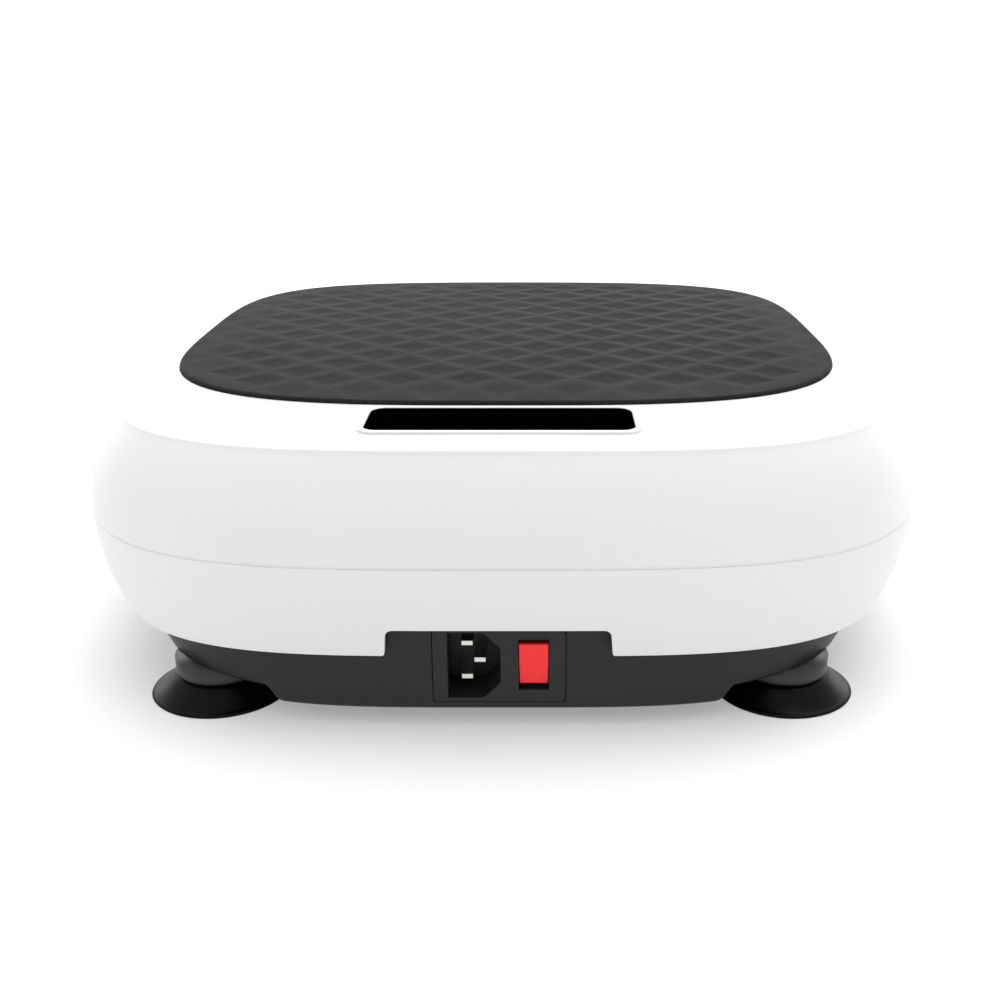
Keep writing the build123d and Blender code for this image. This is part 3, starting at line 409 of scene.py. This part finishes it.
# The relief is shallower on the left, where the sheet is pressed flatter.
fade = 0.62 + 0.38 * np.clip((mx + 60.0) / 120.0, 0.0, 1.0)
rim = np.clip((1.0 - radius) * MAT_HALF_DEPTH / RIM_WIDTH, 0.0, 1.0)
sunk = DISH_DEPTH * fade * dish * dish * (3.0 - 2.0 * dish)
top = crown(mx, my) + MAT_PROUD - sunk - RIM_RADIUS * (1.0 - np.sqrt(1.0 - (1.0 - rim) ** 2))
count = side.size
face_points = np.stack([mx, my, top], 2).reshape(-1, 3)
grid = grid_faces(count, count, False)
front_side = np.arange(count)
right_side = np.arange(1, count) * count + count - 1
rear_side = (count - 1) * count + np.arange(count - 2, -1, -1)
left_side = np.arange(count - 2, 0, -1) * count
loop = np.concatenate([front_side, right_side, rear_side, left_side])
skirt = face_points[loop].copy()
skirt[:, 2] = MAT_BOTTOM
points = np.vstack([face_points, skirt])
base_index = len(face_points)
size = len(loop)
here = np.arange(size)
after = (here + 1) % size
sides = np.stack([loop, base_index + here, base_index + after, loop[after]], 1).tolist()
bottom = [tuple(base_index + k for k in range(size - 1, -1, -1))]

tpe = Paint("mat_elastomer", (0.03, 0.03, 0.031), 0.7, sheen=0.03)
x, y, z = tpe.axes()
down = x / (PITCH_X / 1000.0) + (y - ROW0 / 1000.0) / (PITCH_Y / 1000.0)
up = x / (PITCH_X / 1000.0) - (y - ROW0 / 1000.0) / (PITCH_Y / 1000.0)
off_down = (down - down.math("ROUND")).math("ABSOLUTE")
off_up = (up - up.math("ROUND")).math("ABSOLUTE")
inside = off_down.math("MAXIMUM", off_up)
ridge = inside.step(0.2, 0.5)
aside = (x / 0.15).math("ABSOLUTE") ** 3.6 + ((y - MAT_CENTRE / 1000.0) / 0.14).math("ABSOLUTE") ** 3.6
field = aside.step(1.1, 0.8)
grain = tpe.noise(700.0, 4.0)
slow = tpe.noise(14.0, 2.0)
# The sunken diamonds are painted darker than the ridges and the plain border. This is painted shade in
# the dishes, added on top of the real relief.
painted_dish_shade = tpe.mix((1.0 - ridge) * field, (0.0135, 0.0135, 0.0137), (0.0095, 0.0095, 0.0097))
speck = tpe.mix(grain.step(0.35, 0.7), (0.0, 0.0, 0.0), (0.005, 0.005, 0.005))
add = tpe.node("ShaderNodeMix", data_type="RGBA", blend_type="ADD")
add.inputs[0].default_value = 1.0
tpe.tree.links.new(painted_dish_shade.socket, add.inputs[6])
tpe.tree.links.new(speck.socket, add.inputs[7])
tpe.feed("Base Color", Sock(tpe.tree, add.outputs[2]))
tpe.feed("Roughness", 0.58 + slow * 0.08 + ridge * -0.05)
tpe.bump(grain * 0.7 + tpe.noise(2200.0, 2.0) * 0.3, 0.0002)
mat = build("foot_mat", points / 1000.0, grid + sides + bottom, tpe.material)
place(mat, "platform", "mat_tpe", "mat")


# ---- Display: a smoke-black acrylic lens in a slim white frame; the LED window, the four
# touch spots and the remote receiver show only faintly through it. ----
def round_box(half_x, half_y, corner, steps=12):
    """A rounded rectangle as points, anticlockwise."""
    made = []
    for sx, sy, start in ((1, 1, 0.0), (-1, 1, 0.5), (-1, -1, 1.0), (1, -1, 1.5)):
        for bend in np.linspace(start * math.pi, (start + 0.5) * math.pi, steps):
            across = sx * (half_x - corner) + corner * math.cos(bend)
            made.append((across, sy * (half_y - corner) + corner * math.sin(bend)))
    return np.array(made)


def stacked(name, sections, material, ring_shape=False):
    """A piece drawn through outlines of equal length, each (points, height), in millimetres."""
    rows = [np.column_stack([flat, np.full(len(flat), high)]) for flat, high in sections]
    columns = len(rows[0])
    faces = grid_faces(len(rows), columns)
    if ring_shape:
        last = (len(rows) - 1) * columns
        faces += [(last + i, last + (i + 1) % columns, (i + 1) % columns, i) for i in range(columns)]
    else:
        faces.append(tuple(range(columns - 1, -1, -1)))
        faces.append(tuple((len(rows) - 1) * columns + i for i in range(columns)))
    return build(name, np.vstack(rows) / 1000.0, faces, material)


FRAME_SIZE = (58.1, 20.1, 8.0)  # half width, half depth and corner radius
LENS_SIZE = (55.2, 17.2, 6.5)
LENS_CENTRE = -150.75
shift = np.array([0.0, WINDOW_CENTRE])
outer_edge = ((0.6, 113.0), (0.0, 116.0), (0.0, 117.2), (0.2, 117.5), (0.6, 117.65))
inner_edge = ((2.3, 117.65), (2.6, 117.5), (2.75, 117.0), (2.75, 113.0))
bezel_rows = []
for inset, high in outer_edge + inner_edge:
    half_x, half_y, corner = FRAME_SIZE
    bezel_rows.append((round_box(half_x - inset, half_y - inset, corner - 0.6 * inset) + shift, high))
bezel = stacked("display_frame", bezel_rows, white_material, ring_shape=True)
place(bezel, "platform", "shell_white", "display_bezel")

glass = Paint("smoke_acrylic", (0.0005, 0.0005, 0.0006), 0.09, sheen=0.0)
x, y, z = glass.axes()
led = (x.math("ABSOLUTE") - 0.028).math("MAXIMUM", (y + 0.1508).math("ABSOLUTE") - 0.0115)
led_edge = led.math("ABSOLUTE").step(0.0005, 0.0001)
marks = led_edge * 0.6
for key_x in (-0.0393, 0.0393):
    for key_y in (-0.1433, -0.1583):
        far = ((x - key_x) ** 2.0 + (y - key_y) ** 2.0) ** 0.5
        marks = marks + (far - 0.0062).math("ABSOLUTE").step(0.0004, 0.0001)
far = ((x + 0.048) ** 2.0 + (y + 0.1508) ** 2.0) ** 0.5
marks = marks + far.step(0.0022, 0.0018) * 0.5
shown = marks.math("MINIMUM", 1.0)
glass.feed("Base Color", glass.mix(shown, (0.0002, 0.0002, 0.0002), (0.0012, 0.0012, 0.0014)))
glass.feed("Roughness", glass.noise(40.0, 3.0) * 0.06 + 0.06)
lens_rows = []
shift = np.array([0.0, LENS_CENTRE])
for inset, high in ((0.0, 115.5), (0.0, 116.9), (0.12, 117.1), (0.4, 117.2)):
    half_x, half_y, corner = LENS_SIZE
    lens_rows.append((round_box(half_x - inset, half_y - inset, corner - inset) + shift, high))
lens = stacked("display_glass", lens_rows, glass.material)
place(lens, "platform", "lens_black", "display_lens")


# ---- Base tray: one grey moulding with a rounded lower edge. Its floor is scooped up round
# each foot, and its front wall has the window for the mains module. ----
FEET = [(sx * 121.6, sy * 163.0) for sx in (-1, 1) for sy in (-1, 1)]
TRAY_DEPTH = 199.0  # half depth at every height; the half width grows from low to high
TRAY_HALF_LOW = 157.0
TRAY_HALF_GAIN = 15.0
TRAY_START = 9.0
TRAY_FLOOR = 8.0
TRAY_ROUND = 2.0
TRAY_POWER = 4.0
TRAY_WALL = 0.0029
SCOOP_RADIUS = 37.5  # recess round each foot, and the width and rise of its slope
SCOOP_SLOPE = 6.0
SCOOP_RISE = 7.0
WALL_RISE = 4.6
MODULE_HALF = 27.05  # window for the mains module: half width, bottom and top
MODULE_LOW = 11.45
MODULE_HIGH = 43.35


def scoop(x, y):
    """Rise of the tray's underside near the feet, 0 to 1."""
    near = np.min([np.hypot(x - fx, y - fy) for fx, fy in FEET], axis=0)
    share = np.clip((near - SCOOP_RADIUS) / SCOOP_SLOPE, 0.0, 1.0)
    return 1.0 - share * share * (3.0 - 2.0 * share)


front_span = np.sort(np.concatenate([np.linspace(-60.0, 60.0, 61), [-MODULE_HALF, MODULE_HALF]]))
front_turn = np.arctan2(-TRAY_DEPTH, front_span)
other_turn = np.linspace(front_turn[-1], front_turn[0] + 2.0 * np.pi, 661)[1:-1]
tray_turn = np.concatenate([front_turn, other_turn])


def tray_ring(half_width, half_depth):
    """Points of one plan outline of the tray."""
    far = outline(half_width, half_depth, TRAY_POWER, tray_turn)
    return far * np.cos(tray_turn), far * np.sin(tray_turn)


def tray_half(high):
    """Half width of the tray at one height; it stops growing at the cover's lower edge."""
    share = (high - TRAY_START) / (EDGE[3] - TRAY_START)
    return TRAY_HALF_LOW + TRAY_HALF_GAIN * min(max(share, 0.0), 1.0)


tray_rows = []
belly_x, belly_y = tray_ring(TRAY_HALF_LOW - TRAY_ROUND, TRAY_DEPTH - TRAY_ROUND)
for share in np.linspace(0.55, 1.0, 26):
    x, y = belly_x * share, belly_y * share
    tray_rows.append((x, y, TRAY_FLOOR + SCOOP_RISE * scoop(x, y)))
for bend in np.linspace(0.0, 0.5 * math.pi, 7)[1:-1]:
    inset = TRAY_ROUND * (1.0 - math.sin(bend))
    raised = 1.0 - math.cos(bend)
    x, y = tray_ring(TRAY_HALF_LOW - inset, TRAY_DEPTH - inset)
    tray_rows.append((x, y, TRAY_FLOOR + 2.4 * raised + SCOOP_RISE * scoop(x, y) * (1.0 - 0.25 * raised)))
wall_highs = [MODULE_LOW, 17.0, 18.0, 20.0, 23.0, 27.4, 31.0, 34.5, 38.0, MODULE_HIGH, 47.0, 52.0]
for high in wall_highs:
    x, y = tray_ring(tray_half(high), TRAY_DEPTH)
    lift = (WALL_RISE if high < 18.5 else 0.0) * scoop(x, y)
    tray_rows.append((x, y, np.maximum(high, MODULE_LOW + lift)))
points = np.stack([np.stack(row, 1) for row in tray_rows], 0)
first_wall = len(tray_rows) - len(wall_highs)
keep = np.ones((len(tray_rows) - 1, len(tray_turn)), bool)
left_column = int(np.argmin(np.abs(front_span + MODULE_HALF)))
right_column = int(np.argmin(np.abs(front_span - MODULE_HALF)))
for row, high in enumerate(wall_highs[:-1]):
    if high < MODULE_HIGH:
        keep[first_wall + row, left_column:right_column] = False
tray_grey = Paint("tray_grey_abs", (0.021, 0.021, 0.0212), 0.42, sheen=0.22)
tray_material = tray_grey.moulded(1100.0, 0.00004, 0.08, 0.1)
faces = grid_faces(len(tray_rows), len(tray_turn), True, keep)
tray = build("tray_skin", points.reshape(-1, 3) / 1000.0, faces, tray_material)
modified(tray, "SOLIDIFY", thickness=TRAY_WALL, offset=-1.0)
place(tray, "base", "tray_grey", "base_tray")


# ---- Feet: a hard grey collar on the tray holds each soft black suction cup, a smooth
# hollow cone whose thin lip lies on the floor. ----
def spun(name, profile, centre, material, steps=96):
    """A turned piece: profile rows are (radius, height), in millimetres, about a vertical line."""
    rows = np.asarray(profile, float)
    turn = np.linspace(0.0, 2.0 * np.pi, steps, endpoint=False)
    ring = np.stack([np.cos(turn), np.sin(turn)], 1)
    flat = rows[:, None, :1] * ring[None] + np.asarray(centre, float)
    high = np.broadcast_to(rows[:, None, 1:], flat.shape[:2] + (1,))
    points = np.concatenate([flat, high], 2).reshape(-1, 3)
    return build(name, points / 1000.0, grid_faces(len(rows), steps), material)


collar_grey = Paint("collar_grey", (0.028, 0.028, 0.0285), 0.35, sheen=0.4)
collar_material = collar_grey.moulded(1000.0, 0.00004, 0.08, 0.1)
rubber = Paint("cup_rubber", (0.001, 0.001, 0.001), 0.32, sheen=0.12).moulded(700.0, 0.00002, 0.1, 0.2)
for (fx, fy), name in zip(FEET, ("front_left", "rear_left", "front_right", "rear_right")):
    collar = spun(
        "collar_" + name,
        ((0.01, 9.1), (17.6, 9.1), (18.4, 9.3), (18.9, 9.9), (19.0, 10.6), (19.0, 16.9), (0.01, 16.9)),
        (fx, fy),
        collar_material,
    )
    place(collar, "base", "collar_grey", "foot_collar_" + name)
    flank = [(30.0 - 10.0 * (s / 8.9) ** 0.75, s) for s in np.linspace(0.9, 8.9, 12)]
    under = [(27.3 * math.cos(t), 5.4 * math.sin(t) + 0.3) for t in np.linspace(0.0, 0.5 * math.pi, 10)]
    profile = under[::-1] + [(28.5, 0.1), (29.6, 0.02), (29.95, 0.4)] + flank + [(0.01, 8.95)]
    cup = spun("cup_" + name, profile, (fx, fy), rubber)
    place(cup, "base", "cup_rubber", "suction_cup_" + name)


# ---- Mains module: a black snap-in plate with a socket for the mains lead and a red
# rocker, which is turned in its window to its off side. ----
rocker_red = Paint("rocker_red", (0.80, 0.012, 0.014), 0.25, sheen=0.4)
x, y, z = rocker_red.axes()
# Above 38.4 mm the rocker's rolled top is painted a dark red as painted shade on the top roll. Below that
# line it is the rocker's own red.
red = rocker_red.mix(z.step(0.0378, 0.0384), (0.92, 0.022, 0.024), (0.35, 0.004, 0.005))
rocker_red.feed("Base Color", red)
rocker_red.feed("Roughness", rocker_red.noise(60.0, 2.0) * 0.1 + 0.2)
rocker_red.bump(rocker_red.noise(1200.0, 2.0), 0.00001)
low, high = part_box("power_rocker")
tall = high.z - low.z
rolled_top = ((4.6, 0.9), (3.0, 0.97), (1.4, 0.985), (0.5, 0.98), (0.05, 0.95), (0.0, 0.90))
pressed_face = ((0.5, 0.83), (1.3, 0.72), (2.0, 0.52), (2.6, 0.34), (3.1, 0.15), (3.5, 0.09), (4.6, 0.12))
side_of = [(low.y + depth / 1000.0, low.z + share * tall) for depth, share in rolled_top + pressed_face]
count = len(side_of)
points = [(x, y, z) for x in (low.x + 0.0001, high.x - 0.0001) for y, z in side_of]
faces = [(i, (i + 1) % count, count + (i + 1) % count, count + i) for i in range(count)]
faces += [tuple(range(count - 1, -1, -1)), tuple(range(count, 2 * count))]
rocker = build("rocker", points, faces, rocker_red.material)
mesh = bmesh.new()
mesh.from_mesh(rocker.data)
bmesh.ops.recalc_face_normals(mesh, faces=mesh.faces)
mesh.to_mesh(rocker.data)
mesh.free()
modified(rocker, "BEVEL", width=0.0004, segments=3, limit_method="ANGLE", angle_limit=math.radians(60))
place(rocker, "switch_rocker", "rocker_red", "power_rocker")


# ---- Everything inside and the small hardware: plates, shafts, bearings, motor, belt and boards
# keep their own shapes, and each takes the surface of the material it is made of. ----
KINDS = {  # colour, roughness, metal share and grain scale of each
    "lens_black": ((0.010, 0.010, 0.011), 0.30, 0.0, 900.0),
    "module_black": ((0.019, 0.019, 0.0193), 0.42, 0.0, 1000.0),
    "pin_nickel": ((0.72, 0.70, 0.66), 0.22, 1.0, 1500.0),
    "frame_steel": ((0.30, 0.31, 0.32), 0.45, 1.0, 700.0),
    "bright_steel": ((0.62, 0.62, 0.63), 0.2, 1.0, 1500.0),
    "zinc_steel": ((0.55, 0.56, 0.58), 0.33, 1.0, 900.0),
    "bush_bronze": ((0.50, 0.30, 0.12), 0.35, 1.0, 900.0),
    "pulley_alu": ((0.66, 0.67, 0.68), 0.3, 1.0, 1000.0),
    "belt_rubber": ((0.015, 0.015, 0.015), 0.7, 0.0, 900.0),
    "buffer_rubber": ((0.02, 0.02, 0.02), 0.75, 0.0, 600.0),
    "magnet_ferrite": ((0.05, 0.05, 0.055), 0.55, 0.0, 600.0),
    "armature_iron": ((0.25, 0.24, 0.24), 0.5, 1.0, 700.0),
    "board_green": ((0.02, 0.13, 0.05), 0.4, 0.0, 800.0),
    "display_grey": ((0.09, 0.09, 0.095), 0.35, 0.0, 900.0),
    "capacitor_blue": ((0.03, 0.06, 0.2), 0.3, 0.0, 900.0),
    "standoff_nylon": ((0.7, 0.69, 0.65), 0.5, 0.0, 900.0),
    "housing_black": ((0.02, 0.02, 0.02), 0.5, 0.0, 800.0),
}
finishes = {
    "shell_white": white_material,
    "tray_grey": tray_material,
    "collar_grey": collar_material,
    "cup_rubber": rubber,
    "mat_tpe": tpe.material,
    "rocker_red": rocker_red.material,
}
for name, (colour, roughness, metallic, grain) in KINDS.items():
    finishes[name] = Paint(name, colour, roughness, metallic, sheen=0.25).moulded(grain)
for name, node in nodes.items():
    for place_in in node.material_slots:
        key = place_in.material.name.split(".")[0] if place_in.material else ""
        if key in finishes:
            place_in.material = finishes[key]
